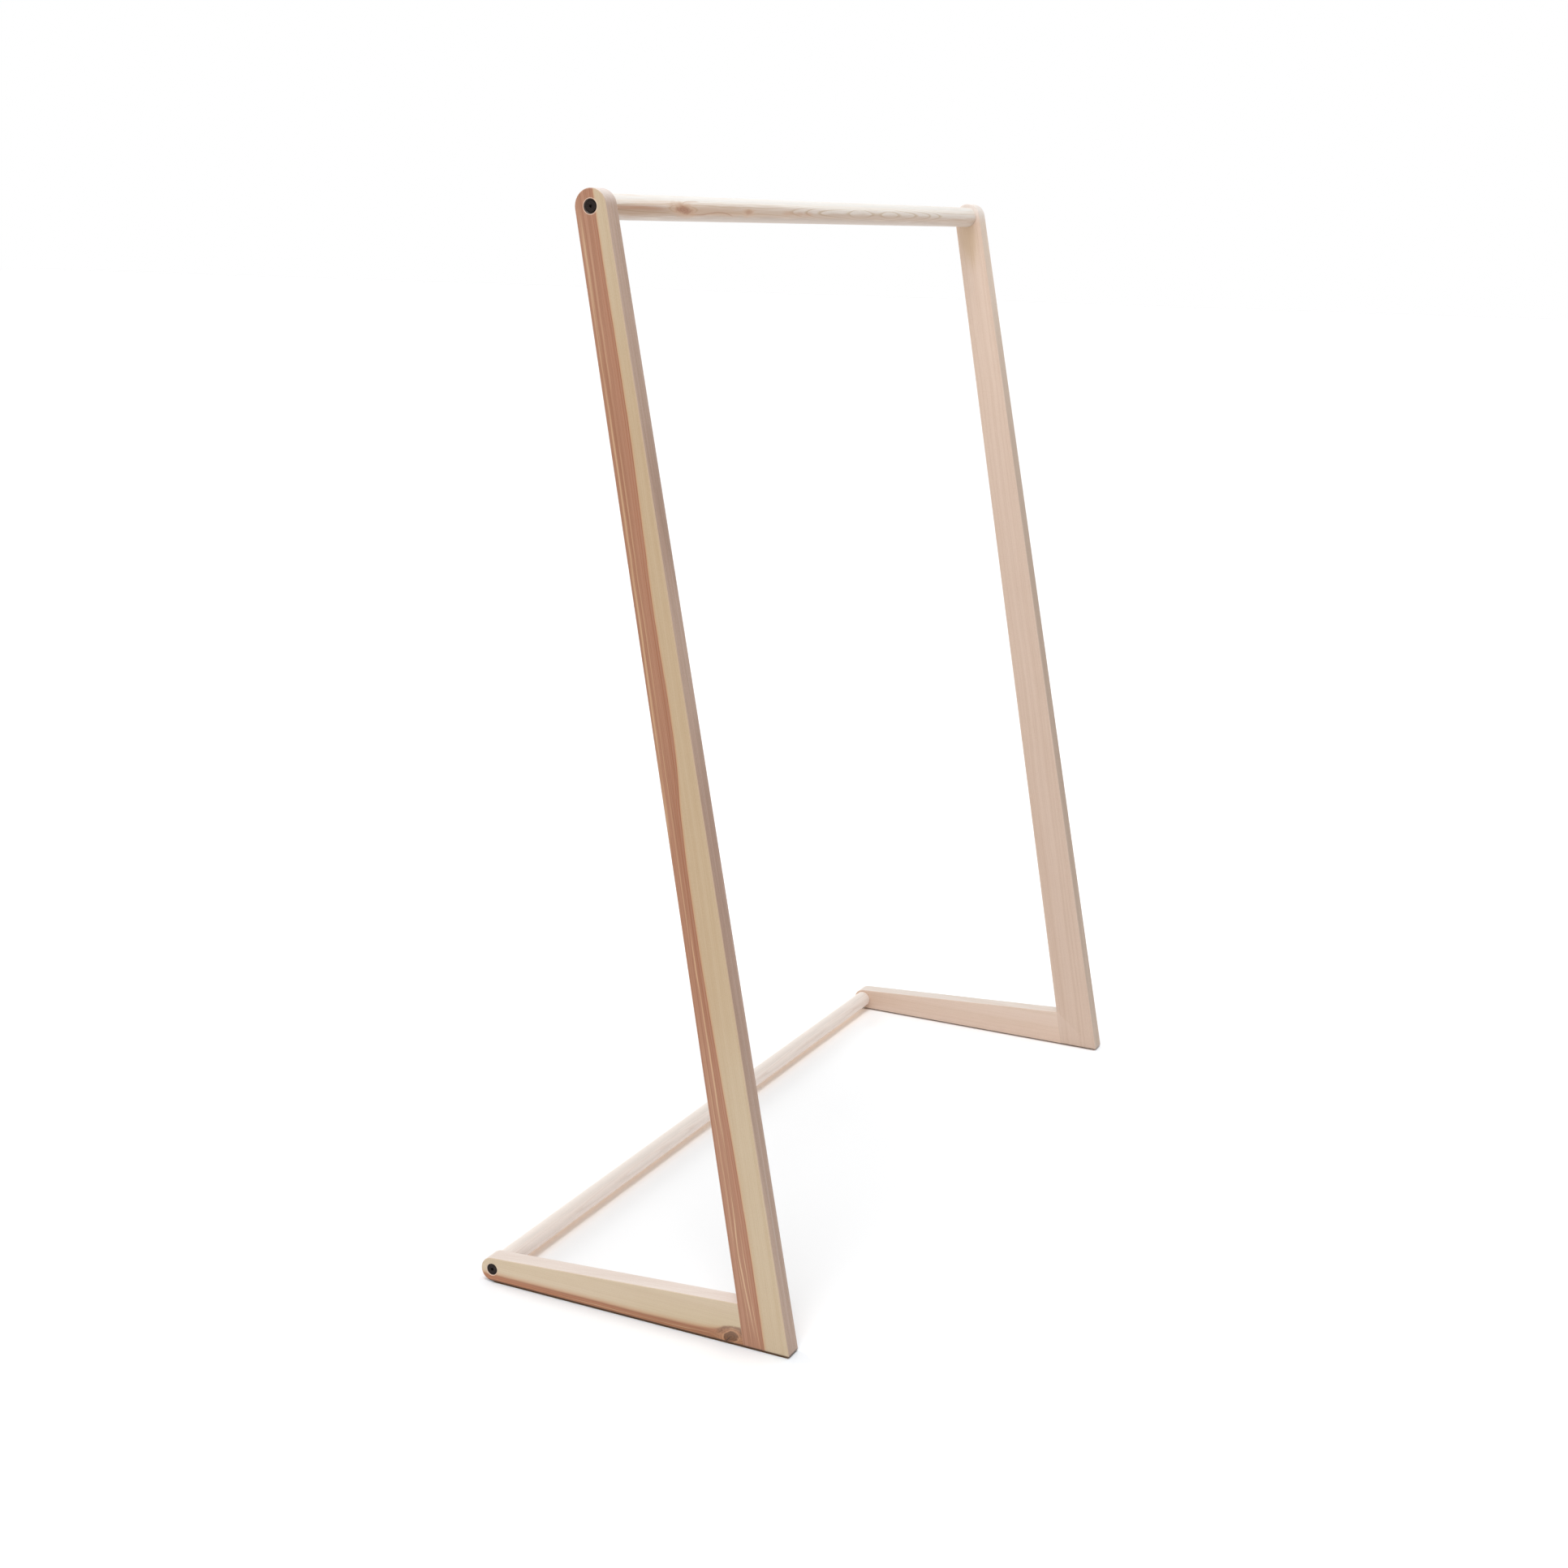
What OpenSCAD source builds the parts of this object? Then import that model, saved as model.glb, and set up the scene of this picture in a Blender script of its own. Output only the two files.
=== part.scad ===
// Free-standing coat rack: two leaning side frames of solid wood, each a tapered leg
// with a long foot behind it, joined by a thick hanging rail at the top and a thinner
// stretcher rail at the back of the feet.
// X runs along the rails, the toes of the legs point to -Y, and Z is up.
// The origin is on the floor, under the middle of the rack.

/* [Overall] */
// Width over the outer faces of the two side frames
overall_w = 1300; // [800:10:1600]
// Depth from the tip of the toe to the back of the foot
overall_d = 480; // [420:5:560]
// Height from the floor to the top of the leg
overall_h = 1500; // [1200:10:1800]
// Thickness of the boards that the legs and feet are cut from
board_t = 28; // [24:1:36]

/* [Leg] */
// Width of the leg where it meets the underside
leg_toe_w = 67; // [55:1:90]
// Diameter of the rounded top of the leg
leg_top_d = 45; // [42:1:60]
// Distance that the hanging rail stands behind the tip of the toe
rail_setback = 305; // [240:5:360]

/* [Foot] */
// Height of the foot where it butts on the leg
foot_joint_h = 58; // [52:1:80]
// Diameter of the rounded back end of the foot
foot_end_d = 34; // [32:1:44]

/* [Rails] */
// Diameter of the hanging rail
top_rail_d = 33; // [28:1:38]
// Diameter of the stretcher rail
bottom_rail_d = 27; // [24:1:30]
// Chamfer around each end of a rail
rail_chamfer = 0.6; // [0.2:0.1:1.5]

/* [Bolts] */
// Thread diameter of the connector bolts
bolt_d = 6; // [6:1:8]
// Length of a bolt under its head
bolt_l = 50; // [45:5:70]
// Diameter of the flat bolt head
bolt_head_d = 15; // [13:0.5:17]
// Thickness of the bolt head
bolt_head_t = 2.5; // [2:0.5:4]
// Width across the flats of the hex socket
socket_af = 4; // [3:0.5:5]
// Depth of the hex socket
socket_depth = 3.5; // [2:0.5:5]
// Chamfer around the rim of the head and the tip of the bolt
bolt_chamfer = 0.5; // [0.2:0.1:0.8]
// Depth that the head lies below the face of the board
head_recess = 0.8; // [0:0.1:2]
// Chamfer around the mouth of the counterbore
mouth_chamfer = 1.2; // [0.4:0.1:1.5]

/* [Threaded inserts] */
// Outer diameter of the insert over its barbs
insert_d = 10; // [10:0.5:14]
// Length of the insert
insert_l = 25; // [18:1:30]
// Number of barbs along the insert
barb_count = 5; // [3:1:7]
// Depth of a barb
barb_depth = 0.6; // [0.3:0.1:0.8]

/* [Dowels] */
// Diameter of the dowels between leg and foot
dowel_d = 8; // [6:1:10]
// Length of a dowel
dowel_l = 40; // [30:1:50]
// Height of the lower dowel above the underside of the foot
dowel_low_h = 16; // [14:1:18]
// Distance between the two dowels
dowel_pitch = 24; // [20:1:26]
// Chamfer around each end of a dowel
dowel_chamfer = 1; // [0.5:0.1:1.5]

/* [Floor pads] */
// Diameter of a floor pad
pad_d = 22; // [16:1:23]
// Thickness of a floor pad
pad_t = 2; // [1:0.5:5]
// Distance of the front pad's centre behind the tip of the toe
front_pad_inset = 24; // [14:1:40]
// Distance of the back pad's centre in front of the back bolt
back_pad_inset = 18; // [12:1:60]

/* [Fits] */
// Space around the bolt head in its counterbore
head_clearance = 0.5; // [0.3:0.1:1.2]
// Space around the bolt in the board and in the end of the rail
bolt_clearance = 0.25; // [0.1:0.05:0.5]
// Space beyond the tip of the bolt
tip_clearance = 4; // [2:1:8]
// Space around the thread in the insert
thread_clearance = 0.05; // [0.02:0.01:0.1]
// Space around the insert in the rail
insert_clearance = 0.05; // [0.02:0.01:0.1]
// Space around a dowel
dowel_clearance = 0.05; // [0.02:0.01:0.1]
// Space beyond each end of a dowel
dowel_end_clearance = 1; // [0.5:0.5:3]

/* [Hidden] */
$fn = 96;

// Overlap that lets a cut run past a face
over = 1;
// Depth that a straight edge runs inside a round end, so that the two cross cleanly
edge_sink = 0.02;
// Length of a rail between the inner faces of the side frames
rail_l = overall_w - 2 * board_t;
// Depth of the counterbore, and how far the bolt reaches into the rail
counterbore_depth = head_recess + bolt_head_t;
bolt_reach = counterbore_depth + bolt_l - board_t;

// A side frame is drawn flat: the first value runs back from the toe, the second up
toe_front = [0, pad_t];
toe_back = [leg_toe_w, pad_t];
top_axis = [rail_setback, overall_h - leg_top_d / 2];
back_axis = [overall_d - foot_end_d / 2, pad_t + foot_end_d / 2 - edge_sink];

// End of the straight edge that runs from p into the round end of diameter d around c;
// side picks one of the two edges
function edge_end(p, c, d, side) =
    let (
        r = d / 2 - edge_sink,
        reach = norm(c - p),
        turn = atan2(c.y - p.y, c.x - p.x) + side * asin(r / reach)
    )
    p + sqrt(reach * reach - r * r) * [cos(turn), sin(turn)];

leg_front_end = edge_end(toe_front, top_axis, leg_top_d, 1);
leg_back_end = edge_end(toe_back, top_axis, leg_top_d, -1);

// Point on the leg's back edge at a height above its underside
function on_back_edge(h) =
    toe_back + h / (leg_back_end.y - toe_back.y) * (leg_back_end - toe_back);

joint_top = on_back_edge(foot_joint_h);
foot_top_end = edge_end(joint_top, back_axis, foot_end_d, 1);
// Direction square to the joint between leg and foot
joint_turn = atan2(leg_back_end.y - toe_back.y, leg_back_end.x - toe_back.x) - 90;

// Stands a flat side frame up on the left, with its outer face at the end of the rack
module on_left() {
    translate([-overall_w / 2, -overall_d / 2, 0])
        rotate([90, 0, 90]) children();
}

module on_right() {
    mirror([1, 0, 0]) on_left() children();
}

// Outlines

module leg_outline() {
    polygon([toe_front, toe_back, leg_back_end, leg_front_end]);
    translate(top_axis) circle(d = leg_top_d);
}

// The foot is drawn past its flat underside and then cut off there
module foot_outline() {
    difference() {
        union() {
            polygon([on_back_edge(-over), [back_axis.x, pad_t - over], foot_top_end, joint_top]);
            translate(back_axis) circle(d = foot_end_d);
        }
        translate([0, pad_t - 2 * over]) square([overall_d, 2 * over]);
    }
}

// Cuts

// Counterbore with a chamfered mouth and a through hole, drilled from the outer face
module bolt_hole(axis) {
    cut_d = bolt_head_d + 2 * head_clearance;
    translate([axis.x, axis.y, 0]) {
        translate([0, 0, -over]) cylinder(d = cut_d, h = counterbore_depth + over);
        translate([0, 0, -over]) cylinder(d = bolt_d + 2 * bolt_clearance, h = board_t + 2 * over);
        translate([0, 0, -over])
            cylinder(
                d1 = cut_d + 2 * (mouth_chamfer + over),
                d2 = cut_d,
                h = mouth_chamfer + over
            );
    }
}

// Puts a dowel's middle on the joint line at a height, along the dowel's axis
module at_dowel(h) {
    middle = on_back_edge(h);
    translate([middle.x, middle.y, board_t / 2])
        rotate([0, 0, joint_turn]) rotate([0, 90, 0]) children();
}

module dowel_holes() {
    for (h = [dowel_low_h, dowel_low_h + dowel_pitch])
        at_dowel(h)
            cylinder(
                d = dowel_d + 2 * dowel_clearance,
                h = dowel_l + 2 * dowel_end_clearance,
                center = true
            );
}

// Wooden pieces

module leg() {
    color("burlywood") difference() {
        linear_extrude(board_t) leg_outline();
        bolt_hole(top_axis);
        dowel_holes();
    }
}

module foot() {
    color("tan") difference() {
        linear_extrude(board_t) foot_outline();
        bolt_hole(back_axis);
        dowel_holes();
    }
}

// A rail along X with a chamfer at each end and a stepped hole for insert and bolt tip
module rail(axis, d) {
    r = d / 2;
    half = rail_l / 2;
    translate([0, axis.x - overall_d / 2, axis.y]) rotate([0, 90, 0]) difference() {
        rotate_extrude() polygon([
            [0, -half], [r - rail_chamfer, -half], [r, -half + rail_chamfer],
            [r, half - rail_chamfer], [r - rail_chamfer, half], [0, half]
        ]);
        for (end = [0, 1]) mirror([0, 0, end]) {
            translate([0, 0, half - insert_l])
                cylinder(d = insert_d + 2 * insert_clearance, h = insert_l + over);
            translate([0, 0, half - max(bolt_reach, insert_l) - tip_clearance])
                cylinder(
                    d = bolt_d + 2 * bolt_clearance,
                    h = max(bolt_reach, insert_l) + tip_clearance + over
                );
        }
    }
}

module top_rail() {
    color("wheat") rail(top_axis, top_rail_d);
}

module bottom_rail() {
    color("wheat") rail(back_axis, bottom_rail_d);
}

module dowel(h) {
    r = dowel_d / 2;
    half = dowel_l / 2;
    color("peru") at_dowel(h) rotate_extrude() polygon([
        [0, -half], [r - dowel_chamfer, -half], [r, -half + dowel_chamfer],
        [r, half - dowel_chamfer], [r - dowel_chamfer, half], [0, half]
    ]);
}

module upper_dowel() {
    dowel(dowel_low_h + dowel_pitch);
}

module lower_dowel() {
    dowel(dowel_low_h);
}

// Fasteners

// Connector bolt: a wide flat head with a hex socket, and a shank that points inwards
module bolt(axis) {
    head_r = bolt_head_d / 2;
    r = bolt_d / 2;
    tip = bolt_head_t + bolt_l;
    color("dimgray") translate([axis.x, axis.y, head_recess]) difference() {
        rotate_extrude() polygon([
            [0, 0], [head_r - bolt_chamfer, 0], [head_r, bolt_chamfer], [head_r, bolt_head_t],
            [r, bolt_head_t], [r, tip - bolt_chamfer], [r - bolt_chamfer, tip], [0, tip]
        ]);
        translate([0, 0, -over])
            cylinder(d = socket_af / cos(30), h = socket_depth + over, $fn = 6);
    }
}

// Barbed insert, flush with the end of the rail, with a plain bore for the bolt's thread
module insert(axis) {
    bore_r = bolt_d / 2 + thread_clearance;
    r = insert_d / 2;
    step = insert_l / barb_count;
    barbs = [
        for (i = [0 : barb_count - 1])
        for (p = [[r, i * step], [r - barb_depth, (i + 1) * step]]) p
    ];
    color("goldenrod") translate([axis.x, axis.y, board_t])
        rotate_extrude() polygon(concat([[bore_r, 0]], barbs, [[bore_r, insert_l]]));
}

// Round pad stuck under the wood at a distance behind the toe
module pad(back) {
    color("gray") translate([back, 0, board_t / 2])
        rotate([-90, 0, 0]) cylinder(d = pad_d, h = pad_t);
}

module front_pad() {
    pad(front_pad_inset);
}

module back_pad() {
    pad(back_axis.x - back_pad_inset);
}

on_left() leg();  // left_leg
on_right() leg();  // right_leg
on_left() foot();  // left_foot
on_right() foot();  // right_foot
top_rail();
bottom_rail();
on_left() bolt(top_axis);  // top_left_bolt
on_right() bolt(top_axis);  // top_right_bolt
on_left() bolt(back_axis);  // bottom_left_bolt
on_right() bolt(back_axis);  // bottom_right_bolt
on_left() insert(top_axis);  // top_left_insert
on_right() insert(top_axis);  // top_right_insert
on_left() insert(back_axis);  // bottom_left_insert
on_right() insert(back_axis);  // bottom_right_insert
on_left() upper_dowel();  // left_upper_dowel
on_left() lower_dowel();  // left_lower_dowel
on_right() upper_dowel();  // right_upper_dowel
on_right() lower_dowel();  // right_lower_dowel
on_left() front_pad();  // left_front_pad
on_left() back_pad();  // left_back_pad
on_right() front_pad();  // right_front_pad
on_right() back_pad();  // right_back_pad
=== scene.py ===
import math

import bmesh
import bpy
from mathutils import Matrix, Vector


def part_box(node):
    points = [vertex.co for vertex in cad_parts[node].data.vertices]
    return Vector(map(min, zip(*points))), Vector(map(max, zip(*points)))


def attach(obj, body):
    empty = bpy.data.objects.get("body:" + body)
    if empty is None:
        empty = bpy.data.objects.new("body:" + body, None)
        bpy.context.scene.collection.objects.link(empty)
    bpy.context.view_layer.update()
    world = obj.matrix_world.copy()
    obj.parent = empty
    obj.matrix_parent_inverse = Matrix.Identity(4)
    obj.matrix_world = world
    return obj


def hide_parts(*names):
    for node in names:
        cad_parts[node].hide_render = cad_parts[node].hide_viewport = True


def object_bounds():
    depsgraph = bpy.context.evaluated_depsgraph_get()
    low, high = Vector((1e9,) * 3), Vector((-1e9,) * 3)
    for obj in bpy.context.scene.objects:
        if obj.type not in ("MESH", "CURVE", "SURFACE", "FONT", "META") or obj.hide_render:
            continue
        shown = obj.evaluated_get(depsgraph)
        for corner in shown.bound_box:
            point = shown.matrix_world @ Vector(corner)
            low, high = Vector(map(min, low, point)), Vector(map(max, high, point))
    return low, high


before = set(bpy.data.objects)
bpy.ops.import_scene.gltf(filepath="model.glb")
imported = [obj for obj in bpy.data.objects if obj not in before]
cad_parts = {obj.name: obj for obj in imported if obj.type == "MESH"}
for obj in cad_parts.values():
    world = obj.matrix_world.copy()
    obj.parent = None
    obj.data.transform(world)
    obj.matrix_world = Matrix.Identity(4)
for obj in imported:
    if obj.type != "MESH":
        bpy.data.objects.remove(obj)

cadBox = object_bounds()
scene = bpy.context.scene
mm = 0.001


def middleOf(node):
    low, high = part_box(node)
    return (low + high) / 2


def sizeOf(node):
    low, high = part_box(node)
    return (high - low) / mm


def placed(name, data):
    # a new object in the scene
    piece = bpy.data.objects.new(name, data)
    scene.collection.objects.link(piece)
    return piece


def operator(operation, reflected=False):
    def method(self, value):
        pair = (value, self) if reflected else (self, value)
        return self.nodes.maths(operation, *pair)
    return method


class Term:
    # A socket that takes part in sums: each operation adds a Math node.
    def __init__(self, nodes, socket):
        self.nodes = nodes
        self.socket = socket

    def other(self, name):
        return Term(self.nodes, self.socket.node.outputs[name])

    __add__, __radd__ = operator("ADD"), operator("ADD", True)
    __sub__, __rsub__ = operator("SUBTRACT"), operator("SUBTRACT", True)
    __mul__, __rmul__ = operator("MULTIPLY"), operator("MULTIPLY", True)
    __truediv__, __rtruediv__ = operator("DIVIDE"), operator("DIVIDE", True)


def setPoints(mapping, points):
    curve = mapping.curves[0]
    curve.points[0].location = points[0]
    curve.points[1].location = points[-1]
    for point in points[1:-1]:
        curve.points.new(*point)
    mapping.update()


class Nodes:
    # Adds nodes to one tree, of a material, the world or a modifier.
    def __init__(self, tree):
        self.tree = tree

    def add(self, kind, values=None, settings=None, output=0):
        node = self.tree.nodes.new(kind)
        for key, value in (settings or {}).items():
            if key == "points":
                setPoints(node.mapping, value)
            else:
                setattr(node, key, value)
        for key, value in (values or {}).items():
            if isinstance(value, Term):
                self.tree.links.new(value.socket, node.inputs[key])
            else:
                node.inputs[key].default_value = value
        return Term(self, node.outputs[output]) if node.outputs else node

    def maths(self, operation, *values):
        return self.add("ShaderNodeMath", dict(enumerate(values)), {"operation": operation})

    def point(self, x, y, z=0.0):
        return self.add("ShaderNodeCombineXYZ", {0: x, 1: y, 2: z})

    def mix(self, share, first, second, blend="MIX"):
        settings = {"data_type": "RGBA", "blend_type": blend}
        return self.add("ShaderNodeMix", {0: share, 6: first, 7: second}, settings, 2)

    def noise(self, where, scale, detail=2.0, roughness=0.5):
        values = {"Vector": where, "Scale": scale, "Detail": detail, "Roughness": roughness}
        return self.add("ShaderNodeTexNoise", values)

    def rise(self, value, low, high):
        # 0 below low and 1 above high, smooth between them, or the other way round
        values = {"Value": value, "From Min": low, "From Max": high}
        return self.add("ShaderNodeMapRange", values, {"interpolation_type": "SMOOTHSTEP"})

    def within(self, value, low, high, soft):
        # 1 between low and high, fading over twice the soft length at both
        return self.rise(value, low - soft, low + soft) * self.rise(value, high + soft, high - soft)

    def bell(self, value, middle, width):
        away = (value - middle) / width
        return self.maths("EXPONENT", away * away * -1.0)

    def traced(self, value, marks, reach, most):
        # a smooth line through marks (place, amount), with places to reach and amounts to most
        points = [(at / reach, much / most) for at, much in marks]
        return self.add("ShaderNodeFloatCurve", {"Value": value / reach}, {"points": points}) * most


class Coat:
    # A colour that is painted over, one share after another.
    def __init__(self, nodes, colour):
        self.nodes = nodes
        self.colour = colour

    def lay(self, share, tint, blend="MIX"):
        self.colour = self.nodes.mix(share, self.colour, tint, blend)


def paint(red, green, blue):
    # a colour as a screen shows it, 0 to 255, for a socket
    def linear(part):
        part = part / 255
        return part / 12.92 if part <= 0.04045 else ((part + 0.055) / 1.055) ** 2.4
    return (linear(red), linear(green), linear(blue), 1.0)


def newMaterial(name, shader):
    # a material with one Principled shader, and its Nodes
    material = bpy.data.materials.new(name)
    material.use_nodes = True
    material.node_tree.nodes.clear()
    nodes = Nodes(material.node_tree)
    surface = nodes.add("ShaderNodeBsdfPrincipled", shader)
    nodes.add("ShaderNodeOutputMaterial", {"Surface": surface})
    return material, nodes, surface.socket.node


def feed(nodes, node, **terms):
    for key, term in terms.items():
        nodes.tree.links.new(term.socket, node.inputs[key.replace("_", " ")])


# From a fit of the photograph's edges. The shift also keeps the rack in the other views.
cameraView = {
    "place": (-3.0816, -1.3933, 1.4598),  # metres
    "heading": -64.129,  # degrees about Z
    "downward": 11.403,
    "roll": 1.073,
    "lens": 51.210,
    "shiftY": -0.07,
}

# a level of 1 shows a white face as white
studio = {
    "ambient": 0.57,  # level of the light from all round
    "suns": {
        "overheadLight": {"from": (-0.30, 0.05, 0.95), "level": 0.26, "softness": 16},
        "backLight": {"from": (0.20, 0.89, 0.45), "level": 0.27, "softness": 24},
        "sideLight": {"from": (-0.93, -0.1, 0.35), "level": 0.16, "softness": 80},
    },
    # its level is the one at the floor
    "stripLight": {"place": (-0.5, -0.15, 2.9), "size": (2.6, 0.5), "level": 0.12},
}

floorLook = {
    "reach": 40,  # metres
    "centre": (-0.15, 0.2, 0),
    "shown": 0.94,  # how pale it looks near the centre, and further away, where it is painted paler in place of the lamps' fall-off
    "shownFar": 1.17,
    "near": 0.3,  # metres from the centre to where it starts to look paler
    "far": 1.1,
    "bounce": 0.98,  # how much of the light it throws back on the rack
    "gloss": 0.07,
    "specular": 0.08,
    "speckle": 0.02,
    "cast": (0.995, 1, 1.005),
    # painted shade and reflection: the floor close under the wood is tinted in the wood's warm colours
    "railPaintedShade": paint(255, 240, 226),
    "railWidth": 0.016,
    "footPaintedShade": paint(192, 144, 100),
    "edge": 0.004,
    "rightShare": 0.45,  # of the feet's painted shade, under the right foot
    # a painted cool cast beside the feet, against the red light that they throw there
    "besidePaintedCast": (0.97, 1, 1.03, 1),
    "besideWidth": 0.05,
}


def placeCamera(view):
    data = bpy.data.cameras.new("photoCamera")
    data.sensor_width = 36
    data.lens = view["lens"]
    data.shift_y = view["shiftY"]
    data.clip_end = 100
    camera = placed("photoCamera", data)
    turn = Matrix.Rotation(math.radians(view["heading"]), 4, "Z")
    tilt = Matrix.Rotation(math.radians(90 - view["downward"]), 4, "X")
    roll = Matrix.Rotation(math.radians(view["roll"]), 4, "Z")
    camera.matrix_world = Matrix.Translation(view["place"]) @ turn @ tilt @ roll
    scene.camera = camera


def seenDirectly(nodes):
    # 1 for what the camera sees itself, in a reflection or through glass
    path = nodes.add("ShaderNodeLightPath")
    direct = nodes.maths("MAXIMUM", path.other("Is Camera Ray"), path.other("Is Glossy Ray"))
    return nodes.maths("MAXIMUM", direct, path.other("Is Transmission Ray"))


def lightStudio(light):
    for name, lamp in light["suns"].items():
        data = bpy.data.lights.new(name, "SUN")
        data.energy = lamp["level"] * math.pi
        data.angle = math.radians(lamp["softness"])
        sun = placed(name, data)
        sun.matrix_world = Vector(lamp["from"]).to_track_quat("Z", "Y").to_matrix().to_4x4()
    strip = light["stripLight"]
    data = bpy.data.lights.new("stripLight", "AREA")
    data.shape = "RECTANGLE"
    data.size, data.size_y = strip["size"]
    data.energy = strip["level"] * (math.pi * strip["place"][2]) ** 2
    placed("stripLight", data).location = strip["place"]
    world = bpy.data.worlds.new("studioWorld")
    world.use_nodes = True
    world.node_tree.nodes.clear()
    nodes = Nodes(world.node_tree)
    level = seenDirectly(nodes) * (1 - light["ambient"]) + light["ambient"]
    sky = nodes.add("ShaderNodeBackground", {"Color": (1, 1, 1, 1), "Strength": level})
    nodes.add("ShaderNodeOutputWorld", {"Surface": sky})
    scene.world = world


def paintFloorShade(coat, side, back, look):
    # side and back are the places along X and along Y
    nodes = coat.nodes
    footLow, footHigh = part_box("left_foot")
    inner, outer, edge = -footHigh.x, -footLow.x, look["edge"]
    toe, heel = cadBox[0].y, middleOf("bottom_rail").y
    width = look["besideWidth"]
    distance = nodes.maths("ABSOLUTE", side)
    underRail = nodes.bell(back, heel, look["railWidth"])
    underRail = underRail * nodes.rise(distance, inner + edge * 4, inner)
    underFeet = nodes.rise(distance, inner - edge, inner)
    underFeet = underFeet * nodes.rise(distance, outer, outer - edge / 2)
    underFeet = underFeet * nodes.rise(back, toe, toe + edge) * nodes.rise(back, heel, heel - edge)
    leftShare = nodes.rise(side, inner, -inner)
    underFeet = underFeet * (leftShare * (1 - look["rightShare"]) + look["rightShare"])
    beside = nodes.rise(distance, inner - width, inner) * nodes.rise(distance, outer + width, outer)
    beside = beside * nodes.rise(back, toe - width, toe) * nodes.rise(back, heel + width, heel)
    # painted shade: warmer and darker under the rail and feet, cooler beside the feet
    coat.lay(underRail, look["railPaintedShade"], "MULTIPLY")
    coat.lay(underFeet, look["footPaintedShade"], "MULTIPLY")
    coat.lay(beside, look["besidePaintedCast"], "MULTIPLY")


def layFloor(look):
    reach = look["reach"]
    mesh = bpy.data.meshes.new("studioFloor")
    corners = [(-reach, -reach, 0), (reach, -reach, 0), (reach, reach, 0), (-reach, reach, 0)]
    mesh.from_pydata(corners, [], [(0, 1, 2, 3)])
    material, nodes, shader = newMaterial("floorPaint", {"Specular IOR Level": look["specular"]})
    place = nodes.add("ShaderNodeTexCoord").other("Object")
    away = nodes.add("ShaderNodeVectorMath", {0: place, 1: look["centre"]}, {"operation": "DISTANCE"})
    # painted light: the floor is shown paler away from the centre, to make up for the lamps' fall-off
    paler = nodes.rise(away.other("Value"), look["near"], look["far"])
    shown = paler * (look["shownFar"] - look["shown"]) + look["shown"]
    grey = seenDirectly(nodes) * (shown - look["bounce"]) + look["bounce"]
    red, green, blue = look["cast"]
    values = {0: grey * red, 1: grey * green, 2: grey * blue}
    coat = Coat(nodes, nodes.add("ShaderNodeCombineColor", values))
    parts = nodes.add("ShaderNodeSeparateXYZ", {0: place})
    paintFloorShade(coat, parts, parts.other("Y"), look)
    rough = nodes.noise(place, 3.0, 3.0) * look["speckle"] + look["gloss"]
    feed(nodes, shader, Base_Color=coat.colour, Roughness=rough)
    mesh.materials.append(material)
    placed("studioFloor", mesh)


placeCamera(cameraView)
lightStudio(studio)
layFloor(floorLook)
print("camera, lights and floor are in place")


# Each board's grain is worked out in its own space in millimetres: "along" it from
# one end, "across" it, and "deep" from one face or from the middle. Rings lie round a pith line.

woodFinish = {
    "roughness": 0.46,
    "specular": 0.5,
    "poreDepth": 0.00012,  # metres
    "glint": paint(214, 200, 190),
    # painted highlight: the paler colour of a board's top round, where the light from above falls
    # brightest
    "crownHighlight": paint(244, 240, 237),
    "crownHighlightShare": 0.6,
    # painted highlight: how strongly the sanded edges take their paler colour, where they catch the
    # light
    "easedHighlightShare": 0.35,
    # painted highlight on the counterbore's rim, and painted shade inside it
    "boreRimHighlight": paint(240, 216, 196),
    "boreRecessShade": paint(46, 33, 26),
    # painted shade: the colour of the boards' lowest mm, where the feet meet the floor
    "grime": paint(68, 43, 24),
    "grimeHeights": (4.6, 2.8),  # mm above the floor, from unshaded to fully shaded
}

# how fine a pattern is across the grain and along it, then its detail and roughness
grainPatterns = {
    "ripple": (0.04, 0.009, 2, 0.5),
    "fibre": (1.5, 0.028, 3, 0.65),
    "mottle": (0.05, 0.012, 2, 0.5),
    "grit": (1.1, 0.4, 1, 0.5),
}

# the same for soft streaks, without the roughness
streakPatterns = {
    "ringJitter": (0.31, 0.0004, 2),
    "ringStrength": (0.13, 0.002, 2),
    "bands": (0.17, 0.001, 3),
    "edgeLines": (0.8, 0.0015, 3),
    "edgeBands": (0.09, 0, 2),
    "glints": (0.42, 0.0012, 2),
    "heartEdge": (0.03, 0.02, 2),
    "heartBands": (0.24, 0.0012, 3),
    "heartLines": (0.75, 0.003, 2),
    "sway": (0.011, 0, 2),
    "breaks": (0.006, 0.4, 2),
}

# distances from a knot's middle, with 1 at its rim, and widths
knotShape = {
    "halo": (2.6, 1),
    "collar": (1.95, 0.34),
    "swirl": (3.2, 1.4),
    "rim": (1.18, 0.09),
    "turns": 15,
    "crack": paint(40, 26, 18),
    "crackWay": (0.62, 0.78),
    "crackLine": (0.6, 0.55),  # mm beside the middle, and its width
    "crackRun": (1.5, 9.5, 1),  # mm along its way: from, to and the soft ends
}

# the most that a traced line and a bend may reach, mm
traceReach = 60
bendReach = 20


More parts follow.
